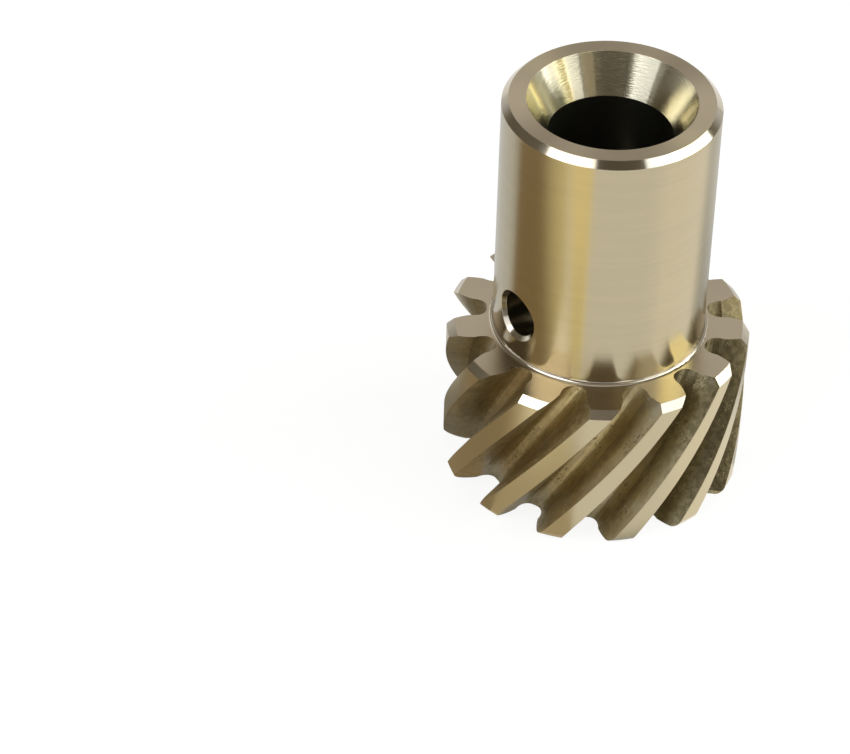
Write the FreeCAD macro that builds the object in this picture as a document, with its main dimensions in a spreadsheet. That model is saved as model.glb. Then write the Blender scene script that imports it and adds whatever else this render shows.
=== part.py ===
import FreeCAD, Part

import math
import os

import Sketcher
from FreeCAD import Placement, Rotation, Vector

# A helical drive gear turned and hobbed from one bar of bronze.
# The gear stands on its plain toothed end: the shaft axis is +Z, the origin is the middle
# of that end face, and a tooth ends near the front (-Y) at the hub side.
# Lengths are in millimetres and angles in degrees.

UP = Vector(0, 0, 1)
AT_ORIGIN = Vector(0, 0, 0)

doc = FreeCAD.newDocument("distributor_gear")

# Driving dimensions
DRIVING = (
    ("overall_length", 45.4, "plain end to hub end"),
    ("rim_length", 17.6, "length of the toothed rim"),
    ("hub_diameter", 22.225, "7/8 inch hub"),
    ("hub_chamfer", 0.7, "45 degree edge of the hub end"),
    ("shoulder_radius", 0.45, "fillet between hub and tooth ends"),
    ("rim_chamfer", 0.75, "45 degree edge of the teeth, hub side"),
    ("plain_radius", 0.7, "rounded edge of the teeth, plain end"),
    ("bore_diameter", 12.7, "1/2 inch shaft bore"),
    ("bore_chamfer", 0.5, "edge of the bore at the plain end"),
    ("sink_diameter", 17.3, "mouth of the countersink at the hub end"),
    ("sink_angle", 60.0, "included angle of the countersink"),
    ("pin_diameter", 4.7625, "3/16 inch cross hole for the drive pin"),
    ("pin_chamfer", 0.45, "broken edge of the cross hole"),
    ("pin_rise", 5.1, "cross hole above the tooth ends"),
    ("pin_turn", -50.1, "cross hole, turned about the axis from the front"),
    ("tooth_count", 13, "number of teeth"),
    ("normal_module", 1.8143, "14 normal diametral pitch"),
    ("helix_angle", 33.0, "right hand, at the pitch circle"),
    ("pressure_angle", 14.5, "in the normal plane"),
    ("tooth_thickness", 3.05, "normal thickness at the pitch circle"),
    ("whole_depth", 4.15, "tip circle to root circle"),
    ("hob_radius", 0.8, "rounded tip of the hob that cuts the roots"),
    ("tooth_turn", 5.26, "middle of the front tooth at the rim's hub side"),
    ("hob_overrun", 1.0, "travel of the hob past each end of the rim"),
)

sheet = doc.addObject("Spreadsheet::Sheet", "Sizes")
for row, (alias, value, note) in enumerate(DRIVING, start=1):
    sheet.set(f"A{row}", note)
    sheet.set(f"B{row}", str(value))
    sheet.setAlias(f"B{row}", alias)
doc.recompute()

# Expressions that several features share
PITCH_DIAMETER = "(Sizes.tooth_count * Sizes.normal_module / cos(Sizes.helix_angle))"
TIP_RADIUS = f"({PITCH_DIAMETER} / 2 + Sizes.normal_module)"
HUB_RADIUS = "Sizes.hub_diameter / 2"
PIN_HEIGHT = "Sizes.rim_length + Sizes.pin_rise"


def origin_part(body, role):
    """The origin plane or axis of a body that has this role."""
    return next(item for item in body.Origin.OriginFeatures if item.Role == role)


def sketch_on(body, name, role):
    """A new sketch of the body on one of its own origin planes."""
    sketch = body.newObject("Sketcher::SketchObject", name)
    sketch.AttachmentSupport = [(origin_part(body, role), "")]
    sketch.MapMode = "FlatFace"
    return sketch


def value_of(expression):
    return float(sheet.evalExpression(expression.replace("Sizes.", "")))


def dimension(sketch, name, expression, *constraint):
    """A named dimension of the sketch, driven by the sheet."""
    value = value_of(expression)
    number = sketch.addConstraint(Sketcher.Constraint(*constraint, value))
    sketch.renameConstraint(number, name)
    sketch.setExpression(f"Constraints.{name}", expression)


# Turned blank
# The half section of the rim and hub is drawn beside the axis and revolved. Its corners are
# named by the side of the section that starts there.
blank = doc.addObject("PartDesign::Body", "TurnedBlank")
blank.Label = "turned_blank"
doc.recompute()

section = sketch_on(blank, "HalfSection", "XZ_Plane")
START, END, MIDDLE = range(1, 4)
ORIGIN = (-1, 1)
tip_radius = value_of(TIP_RADIUS)
hub_radius = value_of(HUB_RADIUS)
corners = [
    Vector(0, 0, 0),
    Vector(tip_radius - sheet.plain_radius, 0, 0),
    Vector(tip_radius, sheet.plain_radius, 0),
    Vector(tip_radius, sheet.rim_length - sheet.rim_chamfer, 0),
    Vector(tip_radius - sheet.rim_chamfer, sheet.rim_length, 0),
    Vector(hub_radius + sheet.shoulder_radius, sheet.rim_length, 0),
    Vector(hub_radius, sheet.rim_length + sheet.shoulder_radius, 0),
    Vector(hub_radius, sheet.overall_length - sheet.hub_chamfer, 0),
    Vector(hub_radius - sheet.hub_chamfer, sheet.overall_length, 0),
    Vector(0, sheet.overall_length, 0),
]
(plain_face, plain_edge, tips, rim_edge, tooth_ends, shoulder,
 hub_side, hub_edge, hub_face, axis_line) = range(len(corners))
quarter_turn = math.pi / 2
round_corners = {
    plain_edge: (Vector(corners[plain_edge].x, corners[tips].y, 0), 3 * quarter_turn),
    shoulder: (Vector(corners[shoulder].x, corners[hub_side].y, 0), 2 * quarter_turn),
}
for side, corner in enumerate(corners):
    following = corners[(side + 1) % len(corners)]
    if side in round_corners:
        centre, first = round_corners[side]
        circle = Part.Circle(centre, UP, abs(corner.x - following.x))
        section.addGeometry(Part.ArcOfCircle(circle, first, first + quarter_turn), False)
    else:
        section.addGeometry(Part.LineSegment(corner, following), False)

for side in (tips, rim_edge, hub_side, hub_edge, hub_face, axis_line):
    following = (side + 1) % len(corners)
    section.addConstraint(Sketcher.Constraint("Coincident", side, END, following, START))
section.addConstraint(Sketcher.Constraint("Tangent", plain_face, END, plain_edge, START))
section.addConstraint(Sketcher.Constraint("Tangent", plain_edge, END, tips, START))
section.addConstraint(Sketcher.Constraint("Tangent", tooth_ends, END, shoulder, END))
section.addConstraint(Sketcher.Constraint("Tangent", shoulder, START, hub_side, START))
section.addConstraint(Sketcher.Constraint("Coincident", plain_face, START, *ORIGIN))
for side in (plain_face, tooth_ends, hub_face):
    section.addConstraint(Sketcher.Constraint("Horizontal", side))
for side in (tips, hub_side, axis_line):
    section.addConstraint(Sketcher.Constraint("Vertical", side))

dimension(section, "tip_radius", TIP_RADIUS, "DistanceX", *ORIGIN, tips, START)
dimension(section, "plain_round", "Sizes.plain_radius", "Radius", plain_edge)
dimension(section, "rim_edge_in", "Sizes.rim_chamfer", "DistanceX", rim_edge, END, rim_edge, START)
dimension(section, "rim_edge_up", "Sizes.rim_chamfer", "DistanceY", rim_edge, START, rim_edge, END)
dimension(section, "rim_top", "Sizes.rim_length", "DistanceY", *ORIGIN, rim_edge, END)
dimension(section, "fillet", "Sizes.shoulder_radius", "Radius", shoulder)
dimension(section, "hub_radius", HUB_RADIUS, "DistanceX", *ORIGIN, hub_side, END)
dimension(section, "hub_edge_in", "Sizes.hub_chamfer", "DistanceX", hub_edge, END, hub_edge, START)
dimension(section, "hub_edge_up", "Sizes.hub_chamfer", "DistanceY", hub_edge, START, hub_edge, END)
dimension(section, "hub_top", "Sizes.overall_length", "DistanceY", *ORIGIN, hub_edge, END)

turning = blank.newObject("PartDesign::Revolution", "Turning")
turning.Profile = section
turning.ReferenceAxis = (origin_part(blank, "Z_Axis"), [""])
turning.Angle = 360
doc.recompute()

# Shaft bore
# It is drilled down from the hub end, where its mouth is countersunk.
bore_mark = sketch_on(blank, "BoreMark", "XY_Plane")
bore_mark.setExpression("AttachmentOffset.Base.z", "Sizes.overall_length")
bore_mark.addGeometry(Part.Circle(AT_ORIGIN, UP, sheet.bore_diameter / 2), False)
bore_mark.addConstraint(Sketcher.Constraint("Coincident", 0, MIDDLE, *ORIGIN))
dimension(bore_mark, "bore", "Sizes.bore_diameter", "Diameter", 0)
doc.recompute()

bore = blank.newObject("PartDesign::Hole", "ShaftBore")
bore.Profile = bore_mark
bore.DepthType = "ThroughAll"
bore.HoleCutType = "Countersink"
bore.setExpression("Diameter", "Sizes.bore_diameter")
bore.setExpression("HoleCutDiameter", "Sizes.sink_diameter")
bore.setExpression("HoleCutCountersinkAngle", "Sizes.sink_angle")
doc.recompute()

# Cross hole for the drive pin
# It passes through both walls of the hub, square to the axis.
pin_height = value_of(PIN_HEIGHT)
pin_mark = sketch_on(blank, "PinMark", "XZ_Plane")
pin_mark.AttachmentOffset = Placement(AT_ORIGIN, Rotation(Vector(0, 1, 0), sheet.pin_turn))
pin_mark.setExpression("AttachmentOffset.Rotation.Angle", "Sizes.pin_turn")
pin_mark.addGeometry(Part.Circle(Vector(0, pin_height, 0), UP, sheet.pin_diameter / 2), False)
pin_mark.addConstraint(Sketcher.Constraint("PointOnObject", 0, MIDDLE, -2))
dimension(pin_mark, "height", PIN_HEIGHT, "DistanceY", *ORIGIN, 0, MIDDLE)
dimension(pin_mark, "pin", "Sizes.pin_diameter", "Diameter", 0)

pin_hole = blank.newObject("PartDesign::Pocket", "PinHole")
pin_hole.Profile = pin_mark
pin_hole.Type = "ThroughAll"
pin_hole.Midplane = True
doc.recompute()


CLOSE = 0.01


def from_axis(point):
    return math.hypot(point.x, point.y)


def edges_where(shape, test):
    """The names of the shape's edges on which every point passes the test."""
    names = []
    for number, edge in enumerate(shape.Edges, start=1):
        if all(test(point) for point in edge.discretize(9)):
            names.append(f"Edge{number}")
    return names


def on_pin_rim(point):
    near = abs(point.z - pin_height) < sheet.pin_diameter
    return near and abs(from_axis(point) - hub_radius) < CLOSE


def on_bore_mouth(point):
    return abs(point.z) < CLOSE and abs(from_axis(point) - sheet.bore_diameter / 2) < CLOSE


pin_edge = blank.newObject("PartDesign::Chamfer", "PinHoleEdge")
pin_edge.Base = (pin_hole, edges_where(pin_hole.Shape, on_pin_rim))
pin_edge.setExpression("Size", "Sizes.pin_chamfer")
doc.recompute()

bore_edge = blank.newObject("PartDesign::Chamfer", "BoreEdge")
bore_edge.Base = (pin_edge, edges_where(pin_edge.Shape, on_bore_mouth))
bore_edge.setExpression("Size", "Sizes.bore_chamfer")
blank.Tip = bore_edge
doc.recompute()

# Tooth form
# The teeth are those that a hob with straight flanks and a rounded tip generates: an
# involute flank above, and below it the curve that the rounded tip sweeps out. Both are
# given as polar points (radius, angle from the middle of the gap) in the plane square to
# the axis.
helix = math.radians(sheet.helix_angle)
tooth_count = int(sheet.tooth_count)
transverse_module = sheet.normal_module / math.cos(helix)
transverse_pressure = math.atan(math.tan(math.radians(sheet.pressure_angle)) / math.cos(helix))
pitch_radius = tooth_count * transverse_module / 2
base_radius = pitch_radius * math.cos(transverse_pressure)
root_radius = tip_radius - sheet.whole_depth
half_gap = (math.pi * transverse_module - sheet.tooth_thickness / math.cos(helix)) / 2
hob_depth = pitch_radius - root_radius - sheet.hob_radius
hob_centre = (half_gap - hob_depth * math.tan(transverse_pressure)
              - sheet.hob_radius / math.cos(transverse_pressure))
cutter_radius = tip_radius + sheet.hob_overrun


def involute(angle):
    return math.tan(angle) - angle


def flank_point(radius):
    pressure = math.acos(min(1.0, base_radius / radius))
    turn = half_gap / pitch_radius - involute(transverse_pressure) + involute(pressure)
    return radius, turn


def root_point(slope):
    """Where the hob's rounded tip touches when the contact line has this slope."""
    along = hob_depth / math.tan(slope)
    roll = (along - hob_centre) / pitch_radius
    reach = sheet.hob_radius / math.hypot(along, hob_depth)
    across = along * (1 + reach)
    outward = pitch_radius - hob_depth * (1 + reach)
    return math.hypot(across, outward), math.atan2(across, outward) - roll


def past_flank(slope):
    radius, turn = root_point(slope)
    return radius > base_radius and turn < flank_point(radius)[1]


def meeting_slope(steep, shallow):
    """The slope at which the root curve runs into the involute."""
    for _ in range(40):
        middle = (steep + shallow) / 2
        if past_flank(middle):
            shallow = middle
        else:
            steep = middle
    return steep


undercut = root_point(transverse_pressure)[0] < base_radius or past_flank(transverse_pressure)
last_slope = meeting_slope(quarter_turn, transverse_pressure) if undercut else transverse_pressure
meeting_radius = root_point(last_slope)[0]


def flank(share):
    return flank_point(meeting_radius + (cutter_radius - meeting_radius) * share)


def root(share):
    return root_point(quarter_turn + (last_slope - quarter_turn) * share)


def place(polar, side):
    radius, turn = polar
    return Vector(side * radius * math.sin(turn), radius * math.cos(turn), 0)


def arcs(curve, count, side):
    """Arcs, each through three points of the curve, on one side of the gap."""
    step = 1 / (2 * count)
    points = [place(curve(number * step), side) for number in range(2 * count + 1)]
    return [Part.Arc(*points[2 * number:2 * number + 3]) for number in range(count)]


ROOT_ARCS = 4


def gap_outline():
    """The closed outline of what the hob takes out between two teeth."""
    bottom = Part.Arc(place(root(0), 1), Vector(0, root_radius, 0), place(root(0), -1))
    closing = Part.Arc(place(flank(1), -1), Vector(0, cutter_radius, 0), place(flank(1), 1))
    sides = []
    for side in (1, -1):
        sides += arcs(flank, 1, side) + arcs(root, ROOT_ARCS, side)
    edges = [curve.toShape() for curve in [bottom, closing] + sides]
    return Part.Wire(Part.__sortEdges__(edges))


# Tooth gaps
# Each gap is swept along the same right hand helix, from below the plain end to above
# the rim, and all of them are cut from the blank.
path = doc.addObject("Part::Helix", "HobPath")
path.LocalCoord = 0
path.setExpression("Radius", f"{PITCH_DIAMETER} / 2")
path.setExpression("Pitch", f"pi * {PITCH_DIAMETER} / tan(Sizes.helix_angle)")
path.setExpression("Height", "Sizes.rim_length + 2 * Sizes.hob_overrun")
path.setExpression("Placement.Base.z", "-Sizes.hob_overrun")
doc.recompute()

half_pitch_turn = 180 / tooth_count
turn_over_rim = math.degrees((sheet.rim_length + sheet.hob_overrun) * math.tan(helix) / pitch_radius)
first_turn = 180 + sheet.tooth_turn + half_pitch_turn - turn_over_rim

gaps = []
for number in range(tooth_count):
    outline = doc.addObject("Part::Feature", f"GapOutline{number + 1}")
    outline.Shape = gap_outline()
    turn = first_turn + 2 * half_pitch_turn * number
    outline.Placement = Placement(Vector(0, 0, -sheet.hob_overrun), Rotation(UP, turn))
    gap = doc.addObject("Part::Sweep", f"Gap{number + 1}")
    gap.Sections = [outline]
    gap.Spine = (path, ["Edge1"])
    gap.Solid = True
    gap.Frenet = True
    gaps.append(gap)

hobbing = doc.addObject("Part::Compound", "ToothGaps")
hobbing.Links = gaps
doc.recompute()

gear = doc.addObject("Part::Cut", "Gear")
gear.Base = blank
gear.Tool = hobbing
gear.Label = "distributor_gear"
doc.recompute()

# Checks before the piece is written
for item in doc.Objects:
    if "Invalid" in item.State or "Error" in item.State:
        raise RuntimeError(f"{item.Label} did not build: {item.State}")
for item in [blank, gear] + gaps:
    if item.Shape.isNull() or not item.Shape.isValid():
        raise RuntimeError(f"{item.Label} has no valid shape")
if len(gear.Shape.Solids) != 1:
    raise RuntimeError("the gear is not one solid")
if not section.FullyConstrained:
    raise RuntimeError("the half section is not fully constrained")

os.makedirs("parts", exist_ok=True)
gear.Shape.exportStep(f"parts/{gear.Label}.step")
print(f"{gear.Label}: volume {gear.Shape.Volume:.1f} mm3, {len(gear.Shape.Faces)} faces")
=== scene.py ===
# %% [markdown]
# A helical drive gear of bronze, turned and hobbed from one bar.
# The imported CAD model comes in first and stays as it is. This file only gives it a finish,
# light and a camera. Places are metres, in the CAD model's own frame: the shaft axis is +Z,
# the plain toothed end stands on the floor, and the camera looks from the front, -Y.

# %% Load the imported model
import math

import bpy
from mathutils import Matrix, Vector

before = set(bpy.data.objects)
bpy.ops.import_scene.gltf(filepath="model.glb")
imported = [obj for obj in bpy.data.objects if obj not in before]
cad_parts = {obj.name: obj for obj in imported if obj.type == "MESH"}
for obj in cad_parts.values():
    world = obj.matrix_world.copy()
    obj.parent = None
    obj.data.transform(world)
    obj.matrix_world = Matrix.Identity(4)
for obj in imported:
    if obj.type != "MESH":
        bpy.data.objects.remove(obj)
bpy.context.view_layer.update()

MM = 0.001
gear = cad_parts["distributor_gear"]

# %% [markdown]
# The finish of a turned part changes where the tool changed, at a known radius or height.
# Painting those zones by hand would drift from the edges, and splitting the mesh isn't
# needed. A shader can measure each point instead: with the object's own coordinates, the
# radius from the axis and the height say which tool made that spot.

# %% Sizes of the turned zones, in millimetres
HUB_RADIUS = 11.1125
HUB_TOP = 45.4
HUB_EDGE = 0.7
SHOULDER = 0.45
TIP_RADIUS = 15.876
RIM_TOP = 17.6
RIM_EDGE = 0.75
PLAIN_ROUND = 0.7
BORE_RADIUS = 6.35
BORE_BEVEL = 0.45
SINK_RADIUS = 8.65
SINK_BOTTOM = 41.3
SINK_SLOPE = math.tan(math.radians(30))
PIN_RADIUS = 2.381
PIN_EDGE = 0.45
PIN_HEIGHT = 22.7
PIN_TURN = math.radians(-50.1)
LEAD = 136.05
print("hub", 2 * HUB_RADIUS, "mm, teeth", 2 * TIP_RADIUS, "mm, bore", 2 * BORE_RADIUS, "mm")


# %% [markdown]
# A shader that measures is a long row of math nodes. Placing each one by hand hides the
# formula, so a small class adds a node for each step and hands back its socket. The sums
# below then read like ordinary arithmetic.

# %% Helpers that write sums
class Sums:
    """Adds math nodes to one node tree, so that a formula reads in one line."""

    def __init__(self, tree):
        self.tree = tree

    def node(self, kind, **settings):
        made = self.tree.nodes.new(kind)
        for name, value in settings.items():
            setattr(made, name, value)
        return made

    def put(self, socket, value):
        """Links a socket to another socket, or sets it to a plain value."""
        if isinstance(value, bpy.types.NodeSocket):
            self.tree.links.new(value, socket)
        else:
            socket.default_value = value

    def math(self, operation, *values):
        made = self.node("ShaderNodeMath", operation=operation)
        for socket, value in zip(made.inputs, values):
            self.put(socket, value)
        return made.outputs[0]

    def add(self, a, b):
        return self.math("ADD", a, b)

    def subtract(self, a, b):
        return self.math("SUBTRACT", a, b)

    def times(self, a, b):
        return self.math("MULTIPLY", a, b)

    def far_out(self, a, b):
        """How far a point lies from the middle when its two sides are a and b."""
        return self.math("SQRT", self.add(self.times(a, a), self.times(b, b)))


print("sums ready")


# %% Helpers for places
class Places(Sums):
    """Sums that also take vectors apart and know where each point lies."""

    def vector(self, x, y, z):
        made = self.node("ShaderNodeCombineXYZ")
        for socket, value in zip(made.inputs, (x, y, z)):
            self.put(socket, value)
        return made.outputs[0]

    def parts(self, vector):
        """The x, y and z of a vector."""
        made = self.node("ShaderNodeSeparateXYZ")
        self.put(made.inputs[0], vector)
        return made.outputs

    def point(self):
        """The place of each point on the piece, in millimetres."""
        made = self.node("ShaderNodeVectorMath", operation="SCALE")
        self.put(made.inputs[0], self.node("ShaderNodeTexCoord").outputs["Object"])
        made.inputs["Scale"].default_value = 1 / MM
        return made.outputs[0]


print("places ready")

# %% [markdown]
# A shader group is a formula with a name. Measures go in, masks and patterns come out, and
# the material only joins them up. Its sockets are made first, and the sums run between them.

# %% Helpers that make a shader group
FLOAT = "NodeSocketFloat"
VECTOR = "NodeSocketVector"


def new_group(name, inputs, outputs):
    """An empty shader group with named sockets, its input node and its output node."""
    tree = bpy.data.node_groups.new(name, "ShaderNodeTree")
    for label, kind, value in inputs:
        socket = tree.interface.new_socket(label, in_out="INPUT", socket_type=kind)
        if value is not None:
            socket.default_value = value
    for label, kind in outputs:
        tree.interface.new_socket(label, in_out="OUTPUT", socket_type=kind)
    return tree, tree.nodes.new("NodeGroupInput"), tree.nodes.new("NodeGroupOutput")


def hand_out(sums, group_output, named_values):
    """Joins each value to the group's output of that name."""
    for label, value in named_values:
        sums.put(group_output.inputs[label], value)


print("group helpers ready")

# %% [markdown]
# The first group measures a point: its radius, height and angle round the axis, and its
# angle once the twist of the teeth is taken out. A tooth that is untwisted stands straight,
# so a pattern on that angle runs along the tooth as the hob's marks do.

# %% Where a point lies on the turned part
place_tree, _, place_out = new_group(
    "place_on_gear", [],
    [("Radius", FLOAT), ("Height", FLOAT), ("Angle", FLOAT), ("Along Tooth", FLOAT),
     ("From Pin Axis", FLOAT), ("Point", VECTOR)])
s = Places(place_tree)
point = s.point()
x, y, z = s.parts(point)
angle = s.math("ARCTAN2", y, x)
untwisted = s.subtract(angle, s.times(z, 2 * math.pi / LEAD))
across_pin = s.add(s.times(x, math.cos(PIN_TURN)), s.times(y, math.sin(PIN_TURN)))
from_pin = s.far_out(across_pin, s.subtract(z, PIN_HEIGHT))
hand_out(s, place_out, (("Radius", s.far_out(x, y)), ("Height", z), ("Angle", angle),
                        ("Along Tooth", untwisted), ("From Pin Axis", from_pin),
                        ("Point", point)))
print("place group:", len(place_tree.nodes), "nodes")


# %% [markdown]
# The second group turns those measures into masks, one for each surface that a tool left:
# the hub's side, the faced ends, the bored and countersunk hole, the cross hole, the tips of
# the teeth and the hobbed gaps between them. Each mask is 1 on its own surface and 0
# elsewhere. A mask is a comparison, and two masks multiplied are 1 only where both are.

# %% Helpers for masks
class Masks(Places):
    """Places that can also be compared."""

    def over(self, value, limit):
        return self.math("GREATER_THAN", value, limit)

    def near(self, value, target, reach):
        """1 where value is within reach of target."""
        return self.math("COMPARE", value, target, reach)

    def either(self, *masks):
        made = masks[0]
        for mask in masks[1:]:
            made = self.math("MAXIMUM", made, mask)
        return made

    def both(self, *masks):
        made = masks[0]
        for mask in masks[1:]:
            made = self.times(made, mask)
        return made

    def outside(self, mask):
        """1 where the mask is 0."""
        return self.subtract(1.0, mask)


print("masks ready")

# %% [markdown]
# The faced ends and the countersink are asked for once more further down, for their grooves,
# so their rules are functions. The mesh follows the true surface only within a few hundredths
# of a millimetre, so each rule leaves that much room.

# %% Rules of three surfaces
CLOSE = 0.04
HAIR = 0.02


def on_hub_face(s, height):
    return s.over(height, HUB_TOP - HAIR)


def on_tooth_ends(s, radius, height):
    flat = s.either(s.near(height, RIM_TOP, HAIR), s.near(height, 0.0, HAIR))
    return s.both(flat, s.over(radius, BORE_RADIUS + BORE_BEVEL))


def on_sink(s, radius, height):
    narrowing = s.times(s.subtract(HUB_TOP, height), SINK_SLOPE)
    on_wall = s.near(s.add(radius, narrowing), SINK_RADIUS, CLOSE)
    return s.both(on_wall, s.over(height, SINK_BOTTOM), s.outside(on_hub_face(s, height)))


print("room for the mesh:", CLOSE, "mm on a radius,", HAIR, "mm on a height")

# %% Masks of the holes
ZONES = ("Hub", "Hub Face", "Hub Edge", "Shoulder", "Sink", "Bore", "Pin Hole", "Pin Edge",
         "Tooth Ends", "Tooth Edges", "Tips", "Gaps")
PIN_EDGE_INSIDE = 10.0
zone_tree, zone_in, zone_out = new_group(
    "machined_zones",
    [("Radius", FLOAT, 0.0), ("Height", FLOAT, 0.0), ("From Pin Axis", FLOAT, 9.0)],
    [(name, FLOAT) for name in ZONES])
s = Masks(zone_tree)
radius, height, from_pin = zone_in.outputs[:3]
beyond_bore = s.over(radius, BORE_RADIUS + CLOSE)
in_wall = s.both(beyond_bore, s.outside(s.over(radius, HUB_RADIUS - CLOSE)))
past_pin = s.over(from_pin, PIN_RADIUS + HAIR)
pin_mouth = s.near(from_pin, PIN_RADIUS + PIN_EDGE / 2, PIN_EDGE / 2)
pin_hole = s.both(in_wall, s.outside(past_pin))
pin_edge = s.both(in_wall, pin_mouth, past_pin, s.over(radius, PIN_EDGE_INSIDE))
sink = on_sink(s, radius, height)
bore = s.both(s.outside(beyond_bore), s.outside(sink))
print("masks of the holes:", len(zone_tree.nodes), "nodes so far")

# %% Masks of the hub
hub_face = on_hub_face(s, height)
hub_edge = s.both(s.over(height, HUB_TOP - HUB_EDGE), s.over(radius, SINK_RADIUS + 1),
                  s.outside(hub_face))
hub = s.both(s.near(radius, HUB_RADIUS, CLOSE), s.over(height, RIM_TOP + SHOULDER - HAIR),
             s.outside(s.over(height, HUB_TOP - HUB_EDGE + HAIR)))
above_rim = s.over(height, RIM_TOP + HAIR)
shoulder = s.both(above_rim, s.outside(s.over(height, RIM_TOP + SHOULDER)),
                  s.over(radius, HUB_RADIUS - CLOSE))
print("masks of the hub:", len(zone_tree.nodes), "nodes so far")

# %% Masks of the toothed rim
GAP_START = HUB_RADIUS + 0.3
tooth_ends = on_tooth_ends(s, radius, height)
cone_line = TIP_RADIUS + RIM_TOP - RIM_EDGE
on_cone = s.both(s.near(s.add(radius, height), cone_line, CLOSE),
                 s.over(height, RIM_TOP - RIM_EDGE), s.outside(above_rim))
below = s.subtract(PLAIN_ROUND, height)
beyond = s.subtract(radius, TIP_RADIUS - PLAIN_ROUND)
on_round = s.both(s.near(s.far_out(below, beyond), PLAIN_ROUND, CLOSE), s.over(below, 0.0),
                  s.over(beyond, 0.0))
tooth_edges = s.both(s.either(on_cone, on_round), s.outside(tooth_ends))
tips = s.both(s.near(radius, TIP_RADIUS, CLOSE), s.outside(s.either(tooth_ends, tooth_edges)))
rim_side = s.both(s.outside(above_rim), s.over(radius, GAP_START))
gaps = s.both(rim_side, s.outside(s.either(tips, tooth_ends, tooth_edges)))
hand_out(s, zone_out, zip(ZONES, (hub, hub_face, hub_edge, shoulder, sink, bore, pin_hole,
                                  pin_edge, tooth_ends, tooth_edges, tips, gaps)))
print("zone group:", len(zone_tree.nodes), "nodes,", len(ZONES), "masks")


# %% [markdown]
# Machining leaves fine lines. A lathe tool cuts rings round the axis, and a facing tool cuts
# rings on a flat end. A noise that changes fast along one direction and hardly at all along
# the other gives such lines without any picture. These helpers add the noise, and the ramps
# and mixes that turn it into tones.

# %% Helpers for patterns and tones
class Finishes(Masks):
    """Masks that can also be given a pattern and a tone."""

    def noise(self, vector, scale, detail, roughness):
        made = self.node("ShaderNodeTexNoise")
        for name, value in (("Vector", vector), ("Scale", scale), ("Detail", detail),
                            ("Roughness", roughness)):
            self.put(made.inputs[name], value)
        return made.outputs["Fac"]

    def ramp(self, value, low, high, at_low=0.0, at_high=1.0):
        """A soft step: at_low up to the value low, and at_high from the value high."""
        made = self.node("ShaderNodeMapRange", interpolation_type="SMOOTHSTEP")
        for name, number in (("Value", value), ("From Min", low), ("From Max", high),
                             ("To Min", at_low), ("To Max", at_high)):
            self.put(made.inputs[name], number)
        return made.outputs["Result"]

    def mix(self, factor, a, b):
        """A colour between a, where the factor is 0, and b, where it is 1."""
        made = self.node("ShaderNodeMix", data_type="RGBA")
        colour_sockets = (made.inputs[0], made.inputs[6], made.inputs[7])
        for socket, value in zip(colour_sockets, (factor, a, b)):
            self.put(socket, value)
        return made.outputs[2]

    def blend(self, factor, a, b):
        """A number between a, where the factor is 0, and b, where it is 1."""
        made = self.node("ShaderNodeMix", data_type="FLOAT")
        number_sockets = (made.inputs[0], made.inputs[2], made.inputs[3])
        for socket, value in zip(number_sockets, (factor, a, b)):
            self.put(socket, value)
        return made.outputs[0]


print("finishes ready")

# %% Tool lines
LINE_SWAY = 0.6
LINE_NOISE = (1.0, 1.0, 0.5)
BANDS_PER_MM = 1.6
BAND_SWAY = 0.9
BAND_PLANE = 7.3
BAND_NOISE = (1.0, 2.0, 0.5)
line_tree, line_in, line_out = new_group(
    "tool_lines",
    [("Across", FLOAT, 0.0), ("Along", FLOAT, 0.0), ("Lines per mm", FLOAT, 8.0)],
    [("Lines", FLOAT), ("Bands", FLOAT)])
s = Finishes(line_tree)
across, along, per_mm = line_in.outputs[:3]
line_place = s.vector(s.times(across, per_mm), s.times(along, LINE_SWAY), 0.0)
band_place = s.vector(s.times(across, BANDS_PER_MM), s.times(along, BAND_SWAY), BAND_PLANE)
hand_out(s, line_out, (("Lines", s.noise(line_place, *LINE_NOISE)),
                       ("Bands", s.noise(band_place, *BAND_NOISE))))
print("tool line group:", len(line_tree.nodes), "nodes")

# %% [markdown]
# The gaps are hobbed, not turned. The cutter leaves a rougher wall with marks that run along
# the tooth, small torn pits, and a darker, browner tone where cutting oil has dried in them.
# Each mark is a noise with its own scale, detail and roughness. Streaks and stains read the
# untwisted angle, so they follow the tooth. Pits and mottling lie on the wall every way.

# %% Hobbed surface
ROUND_THE_RIM = 14.0
STREAK_DRIFT = 0.35
STAIN_DRIFT = 0.6
STREAK_NOISE = (2.2, 3.0, 0.55)
STAIN_NOISE = (0.5, 3.0, 0.55)
MOTTLE_NOISE = (1.5, 4.0, 0.65)
SPECKLE_NOISE = (4.2, 2.0, 0.6)
SPECKLE_STEP = (0.56, 0.68)
PATCH_NOISE = (0.42, 1.0, 0.5)
PATCH_STEP = (0.50, 0.60)
hob_tree, hob_in, hob_out = new_group(
    "hobbed_marks",
    [("Point", VECTOR, None), ("Radius", FLOAT, 0.0), ("Along Tooth", FLOAT, 0.0)],
    [("Streaks", FLOAT), ("Pits", FLOAT), ("Stain", FLOAT), ("Mottle", FLOAT)])
s = Finishes(hob_tree)
point, radius, along_tooth = hob_in.outputs[:3]
height = s.parts(point)[2]
round_rim = s.times(along_tooth, ROUND_THE_RIM)
streaks = s.noise(s.vector(round_rim, radius, s.times(height, STREAK_DRIFT)), *STREAK_NOISE)
stain = s.noise(s.vector(round_rim, radius, s.times(height, STAIN_DRIFT)), *STAIN_NOISE)
speckle = s.ramp(s.noise(point, *SPECKLE_NOISE), *SPECKLE_STEP)
patch = s.ramp(s.noise(point, *PATCH_NOISE), *PATCH_STEP)
hand_out(s, hob_out, (("Streaks", streaks), ("Pits", s.times(speckle, patch)),
                      ("Stain", stain), ("Mottle", s.noise(point, *MOTTLE_NOISE))))
print("hob group:", len(hob_tree.nodes), "nodes")

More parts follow.
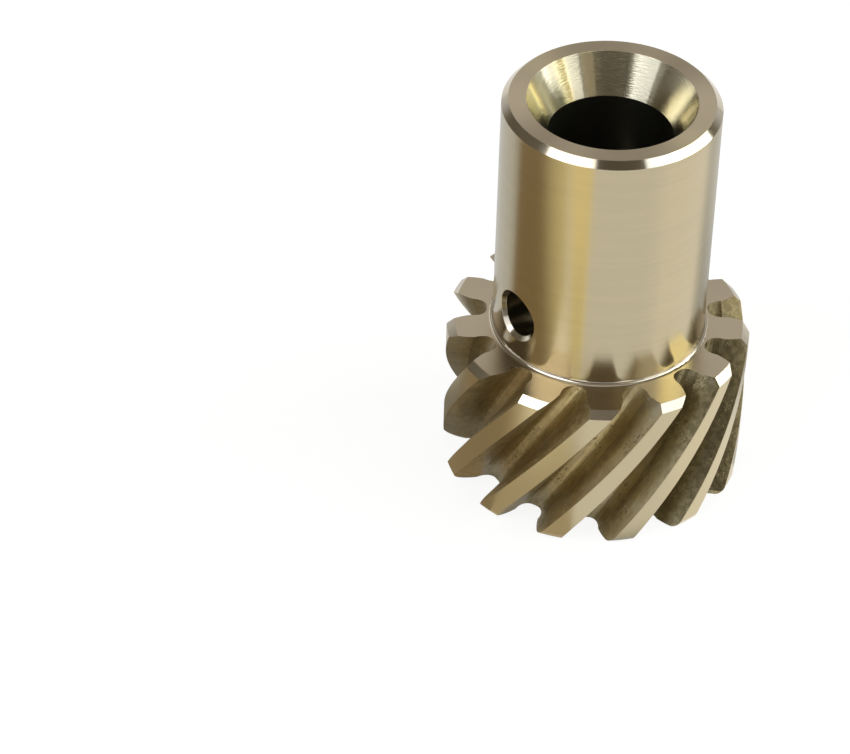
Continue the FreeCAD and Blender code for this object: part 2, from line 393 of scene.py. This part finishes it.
# %% [markdown]
# All surfaces are one bar of bronze, so one material holds them and only its colour,
# roughness and fine relief change from zone to zone. Polished bronze is pale and reflects
# its surroundings, a faced end is duller, and the hobbed gaps are brown.

# %% The bronze
HUB_LINES_PER_MM = 14.0
FACE_LINES_PER_MM = 6.0
SINK_LINES_PER_MM = 7.0
CHATTER_ROUND = 14.0
bronze = bpy.data.materials.new("turned_bronze")
bronze.use_nodes = True
tree = bronze.node_tree
s = Finishes(tree)
shader = tree.nodes["Principled BSDF"]
shader.inputs["Metallic"].default_value = 1.0


def placed(group, **values):
    """One use of a group with its inputs filled in. An underscore stands for a space."""
    made = s.node("ShaderNodeGroup")
    made.node_tree = group
    for name, value in values.items():
        s.put(made.inputs[name.replace("_", " ")], value)
    return made.outputs


place = placed(place_tree)
zone = placed(zone_tree, Radius=place["Radius"], Height=place["Height"],
              From_Pin_Axis=place["From Pin Axis"])
hub_lines = placed(line_tree, Across=place["Height"], Along=place["Angle"],
                   Lines_per_mm=HUB_LINES_PER_MM)
face_lines = placed(line_tree, Across=place["Radius"], Along=place["Angle"],
                    Lines_per_mm=FACE_LINES_PER_MM)
sink_marks = placed(line_tree, Across=place["Height"],
                    Along=s.times(place["Angle"], CHATTER_ROUND),
                    Lines_per_mm=SINK_LINES_PER_MM)
hobbed = placed(hob_tree, Point=place["Point"], Radius=place["Radius"],
                Along_Tooth=place["Along Tooth"])
print("groups in the bronze:", sum(node.type == "GROUP" for node in tree.nodes))

# %% [markdown]
# The gaps are painted first. Their tone wanders between a light and a dark brown, some of it
# greyer, with dark pits. The gaps on the right side are darkened with x, in patches: painted
# shade for the darker surroundings they reflect.

# %% Tone of the gaps
HOB_LIGHT = (0.58, 0.49, 0.295, 1)
HOB_DARK = (0.39, 0.32, 0.185, 1)
HOB_GREY = (0.48, 0.435, 0.33, 1)
PIT = (0.10, 0.075, 0.045, 1)
STAINED = (0.21, 0.175, 0.095, 1)
TONE_SHARES = {"Streaks": 0.2, "Stain": 0.4, "Mottle": 0.4}
TONE_STEP = (0.36, 0.64)
GREY_STEP = (0.5, 0.75)
PIT_SHARE = 0.75
STAINED_SIDE = (1.0, 11.0)
STAINED_PATCHES = (0.40, 0.58, 0.6, 1.0)
by_streak, by_stain, by_mottle = (s.times(hobbed[name], share)
                                  for name, share in TONE_SHARES.items())
tone = s.add(by_streak, s.add(by_stain, by_mottle))
hob_colour = s.mix(s.ramp(tone, *TONE_STEP), HOB_DARK, HOB_LIGHT)
hob_colour = s.mix(s.ramp(hobbed["Stain"], *GREY_STEP), hob_colour, HOB_GREY)
hob_colour = s.mix(s.times(hobbed["Pits"], PIT_SHARE), hob_colour, PIT)
# painted shade: the gaps on the right side are darkened with x, in patches
painted_shade_side = s.ramp(s.parts(place["Point"])[0], *STAINED_SIDE)
painted_shade_patch = s.ramp(hobbed["Mottle"], *STAINED_PATCHES)
hob_colour = s.mix(s.times(painted_shade_side, painted_shade_patch), hob_colour, STAINED)
print("gaps: from", HOB_DARK[:3], "to", HOB_LIGHT[:3], "and painted shade", STAINED[:3])

# %% [markdown]
# The turned surfaces start from the polished tone of the hub's side, and each other zone is
# laid over it by its own mask. Bevels are paler. The bore is painted nearly black. The lip of
# the cross hole is painted dark except low down: a painted dark reflection.

# %% Tone of the turned surfaces
POLISHED = (0.495, 0.43, 0.29, 1)
POLISHED_WARM = (0.515, 0.445, 0.295, 1)
EDGE = (0.64, 0.57, 0.45, 1)
LIP_PAINTED_DARK = (0.13, 0.11, 0.075, 1)
FACED = {"Hub Face": (0.52, 0.43, 0.30, 1), "Tooth Ends": (0.48, 0.40, 0.285, 1),
         "Sink": (0.60, 0.555, 0.41, 1)}
LAST = {"Bore": (0.14, 0.135, 0.11, 1), "Pin Hole": (0.42, 0.37, 0.27, 1),
        "Tips": (0.55, 0.475, 0.31, 1), "Gaps": hob_colour}
BAND_STEP = (0.3, 0.7)
LIP_STEP = (PIN_HEIGHT - 1.9, PIN_HEIGHT - 0.9)
colour = s.mix(s.ramp(hub_lines["Bands"], *BAND_STEP), POLISHED, POLISHED_WARM)
for name, paint in FACED.items():
    colour = s.mix(zone[name], colour, paint)
edges = s.either(zone["Hub Edge"], zone["Tooth Edges"], zone["Shoulder"], zone["Pin Edge"])
colour = s.mix(edges, colour, EDGE)
# painted dark reflection on the upper part of the cross hole's lip
lip_painted_dark_part = s.times(zone["Pin Edge"], s.ramp(place["Height"], *LIP_STEP))
colour = s.mix(lip_painted_dark_part, colour, LIP_PAINTED_DARK)
for name, paint in LAST.items():
    colour = s.mix(zone[name], colour, paint)
s.put(shader.inputs["Base Color"], colour)
print("turned: polished", POLISHED[:3], "and edges", EDGE[:3])

# %% [markdown]
# Roughness says how sharp a reflection is. The hub's bevels are the sharpest, its polished
# side comes next, and the gaps, which the hob left rough, are the dullest.

# %% Roughness of the finishes
ROUGHNESS = {"Hub Face": 0.34, "Tooth Ends": 0.24, "Hub Edge": 0.13, "Shoulder": 0.15,
             "Sink": 0.17, "Bore": 0.34, "Pin Hole": 0.22, "Pin Edge": 0.15,
             "Tooth Edges": 0.20, "Tips": 0.30}
HUB_ROUGHNESS = (0.17, 0.21)
GAP_ROUGHNESS = (0.30, 0.46)
LINE_STEP = (0.3, 0.7)
rough = s.blend(s.ramp(hub_lines["Lines"], *LINE_STEP), *HUB_ROUGHNESS)
for name, value in ROUGHNESS.items():
    rough = s.blend(zone[name], rough, value)
rough = s.blend(zone["Gaps"], rough, s.blend(hobbed["Streaks"], *GAP_ROUGHNESS))
s.put(shader.inputs["Roughness"], rough)
print("roughness: hub", HUB_ROUGHNESS, "gaps", GAP_ROUGHNESS)

# %% [markdown]
# Tool rings scatter light across them and not along them, which draws highlights into lines.
# The shader needs the direction across the rings and how strongly each surface is grooved.
# Both are worked out here from plain nodes: an export can't read these two sockets, so no
# group feeds them, and the exported bronze falls back to an even gloss.

# %% Grooves of the tools
GROOVED = {"hub face": 0.95, "tooth ends": 0.8, "countersink": 0.85, "gaps": 0.0}
GROOVED_ELSEWHERE = 0.4
x, y, height = s.parts(s.point())
radius = s.far_out(x, y)
across_rings = s.node("ShaderNodeVectorMath", operation="CROSS_PRODUCT")
s.put(across_rings.inputs[0], s.vector(s.times(y, -1.0), x, 0.0))
s.put(across_rings.inputs[1], s.node("ShaderNodeNewGeometry").outputs["Normal"])
s.put(shader.inputs["Tangent"], across_rings.outputs[0])
on_ends = on_tooth_ends(s, radius, height)
between_teeth = s.both(s.outside(s.over(height, RIM_TOP + HAIR)), s.outside(on_ends),
                       s.over(radius, GAP_START), s.outside(s.over(radius, TIP_RADIUS - CLOSE)))
surfaces = {"hub face": on_hub_face(s, height), "tooth ends": on_ends,
            "countersink": on_sink(s, radius, height), "gaps": between_teeth}
grooves = GROOVED_ELSEWHERE
for surface, strength in GROOVED.items():
    grooves = s.blend(surfaces[surface], grooves, strength)
s.put(shader.inputs["Anisotropic"], grooves)
print("grooves:", GROOVED)

# %% [markdown]
# The relief is at most a few hundredths of a millimetre deep, too fine for geometry, so it is
# a bump: rings on the turned and faced surfaces, ripples and torn pits in the gaps, and the
# short marks that a chattering tool left in the countersink.

# %% Fine relief
RELIEF = 0.006 * MM
STREAK_RELIEF = 4.0
MOTTLE_RELIEF = 5.0
PIT_RELIEF = 6.0
CHATTER_RELIEF = 2.0
turned = s.times(s.either(zone["Hub"], zone["Tips"], zone["Bore"]), hub_lines["Lines"])
faced = s.times(s.either(zone["Hub Face"], zone["Tooth Ends"]), face_lines["Lines"])
ripple = s.add(s.times(hobbed["Streaks"], STREAK_RELIEF),
               s.times(hobbed["Mottle"], MOTTLE_RELIEF))
torn = s.times(zone["Gaps"], s.subtract(ripple, s.times(hobbed["Pits"], PIT_RELIEF)))
chatter = s.times(zone["Sink"], s.times(sink_marks["Lines"], CHATTER_RELIEF))
bump = s.node("ShaderNodeBump")
bump.inputs["Strength"].default_value = 1.0
bump.inputs["Distance"].default_value = RELIEF
s.put(bump.inputs["Height"], s.add(s.add(turned, faced), s.add(torn, chatter)))
s.put(shader.inputs["Normal"], bump.outputs["Normal"])

gear.data.materials.clear()
gear.data.materials.append(bronze)
print("bronze:", len(tree.nodes), "nodes")

# %% [markdown]
# The floor is a plain pale sheet. It takes the soft shadow that sets the gear down.

# %% Floor
FLOOR_SIDE = 3.0
FLOOR_FINISH = {"Base Color": (0.94, 0.94, 0.935, 1), "Roughness": 0.9,
                "Specular IOR Level": 0.1}
bpy.ops.mesh.primitive_plane_add(size=FLOOR_SIDE, location=(0, 0, 0))
floor = bpy.context.object
floor.name = "floor"
paper = bpy.data.materials.new("pale_floor")
paper.use_nodes = True
tree = paper.node_tree
sheet = tree.nodes["Principled BSDF"]
for name, value in FLOOR_FINISH.items():
    sheet.inputs[name].default_value = value
floor.data.materials.append(paper)
print("floor:", FLOOR_SIDE, "m a side")

# %% [markdown]
# The camera and the metal should see that floor nearly white. More light would spoil the
# gear, so for those rays alone a glow is mixed into the paper. A glow knows nothing of
# shadows and would shine up through the bore, so it is turned down under the gear, and for
# the metal round its rim too: painted shade where the gear's shadow falls.

# %% Glow of the floor
GLOW_SHARE = 0.78
CAMERA_GLOW = 1.12
MIRROR_GLOW = 1.04
BORE_SHADE = 0.10
BORE_FADE = (8 * MM, 12 * MM)
RIM_SHADE = 0.35
RIM_FADE = (15.5 * MM, 19 * MM)
s = Finishes(tree)
from_axis = s.node("ShaderNodeVectorMath", operation="LENGTH")
s.put(from_axis.inputs[0], s.node("ShaderNodeTexCoord").outputs["Object"])
away = from_axis.outputs["Value"]
# painted shade: the glow is dimmed under the bore for the camera and round the rim for the
# metal
for_camera = s.ramp(away, *BORE_FADE, BORE_SHADE, CAMERA_GLOW)
for_metal = s.times(s.ramp(away, *RIM_FADE, RIM_SHADE, 1.0), MIRROR_GLOW)
rays = s.node("ShaderNodeLightPath").outputs
glow = s.node("ShaderNodeEmission")
s.put(glow.inputs["Strength"], s.blend(rays["Is Camera Ray"], for_metal, for_camera))
seen = s.either(rays["Is Camera Ray"], rays["Is Glossy Ray"], rays["Is Transmission Ray"])
mixed = s.node("ShaderNodeMixShader")
s.put(mixed.inputs[0], s.times(seen, GLOW_SHARE))
s.put(mixed.inputs[1], sheet.outputs[0])
s.put(mixed.inputs[2], glow.outputs[0])
s.put(tree.nodes["Material Output"].inputs["Surface"], mixed.outputs[0])
print("floor glow:", CAMERA_GLOW, "for the camera,", MIRROR_GLOW, "for the metal")

# %% [markdown]
# Seen from above, the upright hub reflects only the table. Plain white paper would make it
# look like a flat label, so cards that glow only for the metal lie beside it: painted
# reflections of dark and warm bands. The cards glow in their own colours, which each card's
# mesh holds.

# %% Glow of the cards, for painted reflections
painted_reflection_glow = bpy.data.materials.new("painted_reflection_glow")
painted_reflection_glow.use_nodes = True
tree = painted_reflection_glow.node_tree
s = Finishes(tree)
tree.nodes.remove(tree.nodes["Principled BSDF"])
card_colour = s.node("ShaderNodeAttribute", attribute_name="Tint")
shine = s.node("ShaderNodeEmission")
s.put(shine.inputs["Color"], card_colour.outputs["Color"])
s.put(tree.nodes["Material Output"].inputs["Surface"], shine.outputs[0])
print("card paper:", len(tree.nodes), "nodes")

# %% [markdown]
# A cylinder sends the view at one angle off at twice that angle, so a card whose two sides
# follow those rays shows as an upright band of even width. The cards are seen in reflections
# alone: the camera, the floor and the shadows don't notice them.

# %% Cards that shape the reflections
CARD_LIFT = 0.3


def card_point(turn, distance, lift):
    """Where the view of the hub's side at this angle meets the table."""
    a = math.radians(turn)
    return ((HUB_RADIUS * math.sin(a) + distance * math.sin(2 * a)) * MM,
            (-HUB_RADIUS * math.cos(a) - distance * math.cos(2 * a)) * MM, lift * MM)


def band_card(name, near, far, left, right=None, near_share=1.0, lift=CARD_LIFT):
    """A card between two lines. Each line is the distance on the table and two angles.

    Its colour runs from the left one, at the first angles, to the right one, and at the
    near line it has only near_share of its brightness."""
    right = right or left
    corners = [card_point(near[1], near[0], lift), card_point(far[1], far[0], lift),
               card_point(far[2], far[0], lift), card_point(near[2], near[0], lift)]
    near_left, near_right = ([near_share * part for part in side] for side in (left, right))
    mesh = bpy.data.meshes.new(name)
    mesh.from_pydata(corners, [], [(0, 1, 2, 3)])
    tints = mesh.color_attributes.new("Tint", "FLOAT_COLOR", "CORNER")
    for corner, shade in zip(tints.data, (near_left, left, right, near_right)):
        corner.color = (*shade, 1)
    card = bpy.data.objects.new(name, mesh)
    bpy.context.scene.collection.objects.link(card)
    mesh.materials.append(painted_reflection_glow)
    for ray in ("camera", "diffuse", "transmission", "volume_scatter", "shadow"):
        setattr(card, "visible_" + ray, False)


print("cards lie", CARD_LIFT, "mm above the floor")

# %% [markdown]
# From the left, the hub shows a grey side, a broad brown band that turns to tan, ochre and
# gold, the bare white table, a bright band, and a grey side again: all but the table are
# painted reflections from the cards. A card with two colours is the soft border between two
# bands. Cards close to the gear paint shade into the foot of the hub, and the card of the
# painted glint lies a little above the others.

# %% Colours of the cards
PAPER = (0.98, 0.98, 0.98)
GREY = (0.72, 0.73, 0.74)
SHADE = (0.22, 0.20, 0.16)
BROWN = (0.31, 0.225, 0.12)
BROWN_NEAR = (0.35, 0.28, 0.18)
TAN = (0.62, 0.53, 0.32)
OCHRE = (0.84, 0.74, 0.43)
GOLD_NEAR = (0.99, 0.87, 0.48)
GOLD = (1.20, 1.04, 0.58)
DIM = (0.58, 0.50, 0.36)
BRIGHT = (1.12, 1.10, 1.05)
SIDE = (0.70, 0.70, 0.68)
GLINT = (1.40, 1.33, 1.18)
GLINT_LIFT = 0.4
print("cards: from shade", SHADE, "to glint", GLINT)

# %% Lay the cards
# each row lays one glowing card: painted reflections, painted shade near the gear and a painted
# glint
BAND_CARDS = (
    ("card_grey", (22, -85, -59), (90, -85, -59), GREY),
    ("card_grey_edge", (22, -59, -52), (90, -59, -52), GREY, BROWN),
    ("card_shade", (1, -88, -54), (22, -88, -54), SHADE),
    ("card_brown_near", (3, -54, -30), (22, -54, -30), BROWN_NEAR),
    ("card_brown", (22, -52, -26), (90, -52, -38.5), BROWN),
    ("card_brown_edge", (22, -26, -20), (90, -38.5, -34.5), BROWN, TAN),
    ("card_tan", (22, -20, -17), (90, -34.5, -29), TAN, OCHRE),
    ("card_ochre", (22, -17, -13), (90, -29, -23), OCHRE, GOLD_NEAR),
    ("card_gold_near", (22, -13, -8.5), (42, -16, -8.5), GOLD_NEAR),
    ("card_gold", (42, -16, -8.5), (90, -23, -8.5), GOLD),
    ("card_gold_edge", (22, -8.5, -6.5), (90, -8.5, -6.5), GOLD, PAPER),
    ("card_dim", (5, -30, -4), (22, -30, -4), DIM),
    ("card_bright_edge", (5, 22, 33), (90, 22, 33), PAPER, BRIGHT),
    ("card_bright", (5, 33, 58), (55, 33, 60), BRIGHT),
    ("card_bright_far", (55, 33, 60), (90, 33, 60), BRIGHT),
    ("card_side_near", (20, 68, 88), (55, 66, 88), SIDE, SIDE, 0.6),
    ("card_side_near_edge", (20, 58, 68), (55, 60, 66), BRIGHT, SIDE, 0.6),
    ("card_side_edge", (55, 60, 66), (90, 60, 66), BRIGHT, SIDE),
    ("card_side", (55, 66, 88), (90, 66, 88), SIDE),
    ("card_glint", (20, -27, -12), (30, -21, -18), GLINT, GLINT, 1.0, GLINT_LIFT),
)
for card_row in BAND_CARDS:
    band_card(*card_row)
print(len(BAND_CARDS), "cards laid")

# %% [markdown]
# Polished metal only shows what is around it. A photographer's table is white up to its
# edge, the walls of the room beyond it are dark and warm, and the ceiling is grey behind the
# gear and straight above it. One gradient by direction is enough for all of that: y is -1 on
# the camera's side and 1 behind the gear, and z is 1 straight up. The camera itself sees
# plain white in place of the room.

# %% Room
HORIZON = 0.62
WALL_RISE = (0.03, 0.30)
WALL_LEVELS = (0.065, 0.13)
WALL_TURN = (-0.75, -0.3)
CEILING_RISE = (0.25, 0.45)
CEILING_LEVELS = (0.02, 0.66)
CEILING_TURN = (0.4, 0.85)
OVERHEAD_RISE = (0.91, 0.97)
OVERHEAD_LEVEL = 0.5
WARM_WHERE_DARK = (1.0, 0.87, 0.66)
WARM_LEVELS = (0.14, 0.45)
world = bpy.data.worlds.new("studio")
bpy.context.scene.world = world
world.use_nodes = True
tree = world.node_tree
s = Finishes(tree)
_, back, rise = s.parts(s.node("ShaderNodeTexCoord").outputs["Generated"])
walls = s.ramp(rise, *WALL_RISE, HORIZON, s.ramp(back, *WALL_TURN, *WALL_LEVELS))
ceiling = s.times(s.ramp(rise, *CEILING_RISE), s.ramp(back, *CEILING_TURN, *CEILING_LEVELS))
overhead = s.ramp(rise, *OVERHEAD_RISE, 0.0, OVERHEAD_LEVEL)
straight = s.node("ShaderNodeLightPath").outputs["Is Camera Ray"]
level = s.either(straight, s.add(walls, s.add(ceiling, overhead)))
room = s.node("ShaderNodeCombineColor")
for socket, share in zip(room.inputs, WARM_WHERE_DARK):
    s.put(socket, s.times(level, s.ramp(level, *WARM_LEVELS, share, 1.0)))
s.put(tree.nodes["Background"].inputs["Color"], room.outputs[0])
tree.nodes["Background"].inputs["Strength"].default_value = 1.0
print("room:", len(tree.nodes), "nodes, walls", WALL_LEVELS, "ceiling", CEILING_LEVELS)

# %% [markdown]
# Broad soft boxes hang above the table and light up the bevels, one after another round the
# gear. Narrower strips stand lower, for the streaks in the countersink, and two weak boxes
# behind the gear brighten the sides of its faced ends. A lamp's power says little about how
# a mirror shows it, so each box is given by how bright it looks, where paper is 1.

# %% A soft box by its direction
BOX_DISTANCE = 0.5
BOX_AIM = Vector((0, 0, 0.022))


def soft_box(name, azimuth, elevation, width, height, brightness, tint):
    """A lamp of width by height degrees. Azimuth 0 is the camera's side, 90 the right."""
    a, e = math.radians(azimuth), math.radians(elevation)
    sides = [2 * BOX_DISTANCE * math.tan(math.radians(span) / 2) for span in (width, height)]
    lamp = bpy.data.lights.new(name, "AREA")
    lamp.shape = "RECTANGLE"
    lamp.size, lamp.size_y = sides
    lamp.energy = brightness * math.pi * sides[0] * sides[1]
    made = bpy.data.objects.new(name, lamp)
    made.location = (BOX_DISTANCE * math.cos(e) * math.sin(a),
                     -BOX_DISTANCE * math.cos(e) * math.cos(a), BOX_DISTANCE * math.sin(e))
    aim = BOX_AIM - made.location
    made.rotation_euler = aim.to_track_quat("-Z", "Y").to_euler()
    made.visible_camera = False
    bpy.context.scene.collection.objects.link(made)
    lamp.color = tint


print("soft boxes hang", BOX_DISTANCE, "m away")

# %% Hang the soft boxes
WHITE = (1, 1, 1)
COOL = (0.83, 0.89, 1.0)
SOFT_BOXES = (
    ("box_left", -46, 50, 35, 20, 2.6, WHITE),
    ("box_low_left", -50, 38, 38, 9, 3.5, (0.88, 0.93, 1)),
    ("box_right", 64, 46, 24, 17, 2.3, (0.84, 0.92, 1)),
    ("box_far_right", 98, 37, 34, 23, 4.1, (0.93, 1, 0.8)),
    ("box_low_right", 107, 22, 18, 12, 2.2, (0.88, 0.94, 1)),
    ("box_front", 4, 42, 30, 9, 0.55, (1, 0.9, 0.8)),
    ("box_warm", 36, 41, 20, 8, 1.0, (1, 0.95, 0.75)),
    ("strip_left", -45.5, 24, 27, 16, 1.25, COOL),
    ("strip_right", 60, 20, 19, 16, 1.7, (0.97, 0.98, 1.0)),
    ("strip_tan", 38.5, 24, 17, 14, 0.4, (1, 0.84, 0.6)),
    ("strip_side", 78, 28, 17, 12, 1.8, (1, 0.85, 0.42)),
    ("strip_low", 93, 14, 24, 11, 1.7, WHITE),
    ("back_left", -146, 37, 26, 20, 0.35, WHITE),
    ("back_right", 146, 37, 26, 20, 0.25, WHITE),
)
for box_row in SOFT_BOXES:
    soft_box(*box_row)
print(len(SOFT_BOXES), "soft boxes hung")

# %% [markdown]
# The camera stands where the photograph was taken from. Its angle, distance and lens were
# worked out from the photograph's ellipses and edges, and the picture's frame is 850 by 754.
# The gear isn't in the middle of that frame, so the camera is turned aside until the middle
# of the gear falls on its own pixel. The lens needs no shift for that.

# %% Camera
ELEVATION = math.radians(37.78578)
ROLL = math.radians(3.75244)
FOCAL_PIXELS = 3472.660
FRAME = (850, 754)
SENSOR = 36
TARGET = Vector((0, 0, 22.325 * MM))
TARGET_PIXEL = (600.588, 281.785)
DISTANCE = 361.64 * MM

look = Vector((0, math.cos(ELEVATION), -math.sin(ELEVATION)))
level_up = Vector((0, math.sin(ELEVATION), math.cos(ELEVATION)))
level_right = Vector((1, 0, 0))
right = math.cos(ROLL) * level_right + math.sin(ROLL) * level_up
up = -math.sin(ROLL) * level_right + math.cos(ROLL) * level_up
to_target = Vector(((TARGET_PIXEL[0] - FRAME[0] / 2) / FOCAL_PIXELS,
                    -(TARGET_PIXEL[1] - FRAME[1] / 2) / FOCAL_PIXELS, -1)).normalized()
aside = Vector((0, 0, -1)).rotation_difference(to_target).to_matrix()
to_world = Matrix((right, up, -look)).transposed() @ aside.transposed()

lens = bpy.data.cameras.new("camera")
lens.sensor_width = SENSOR
lens.lens = FOCAL_PIXELS / FRAME[0] * lens.sensor_width
lens.clip_start, lens.clip_end = 0.01, 20
camera = bpy.data.objects.new("camera", lens)
camera.matrix_world = Matrix.Translation(TARGET - look * DISTANCE) @ to_world.to_4x4()
bpy.context.scene.collection.objects.link(camera)
bpy.context.scene.camera = camera
print("camera:", [round(v, 4) for v in camera.location], "lens", round(lens.lens, 1))

# %% [markdown]
# The colours are meant as they are written, so the picture takes no film look.

# %% Colour
bpy.context.scene.view_settings.view_transform = "Standard"
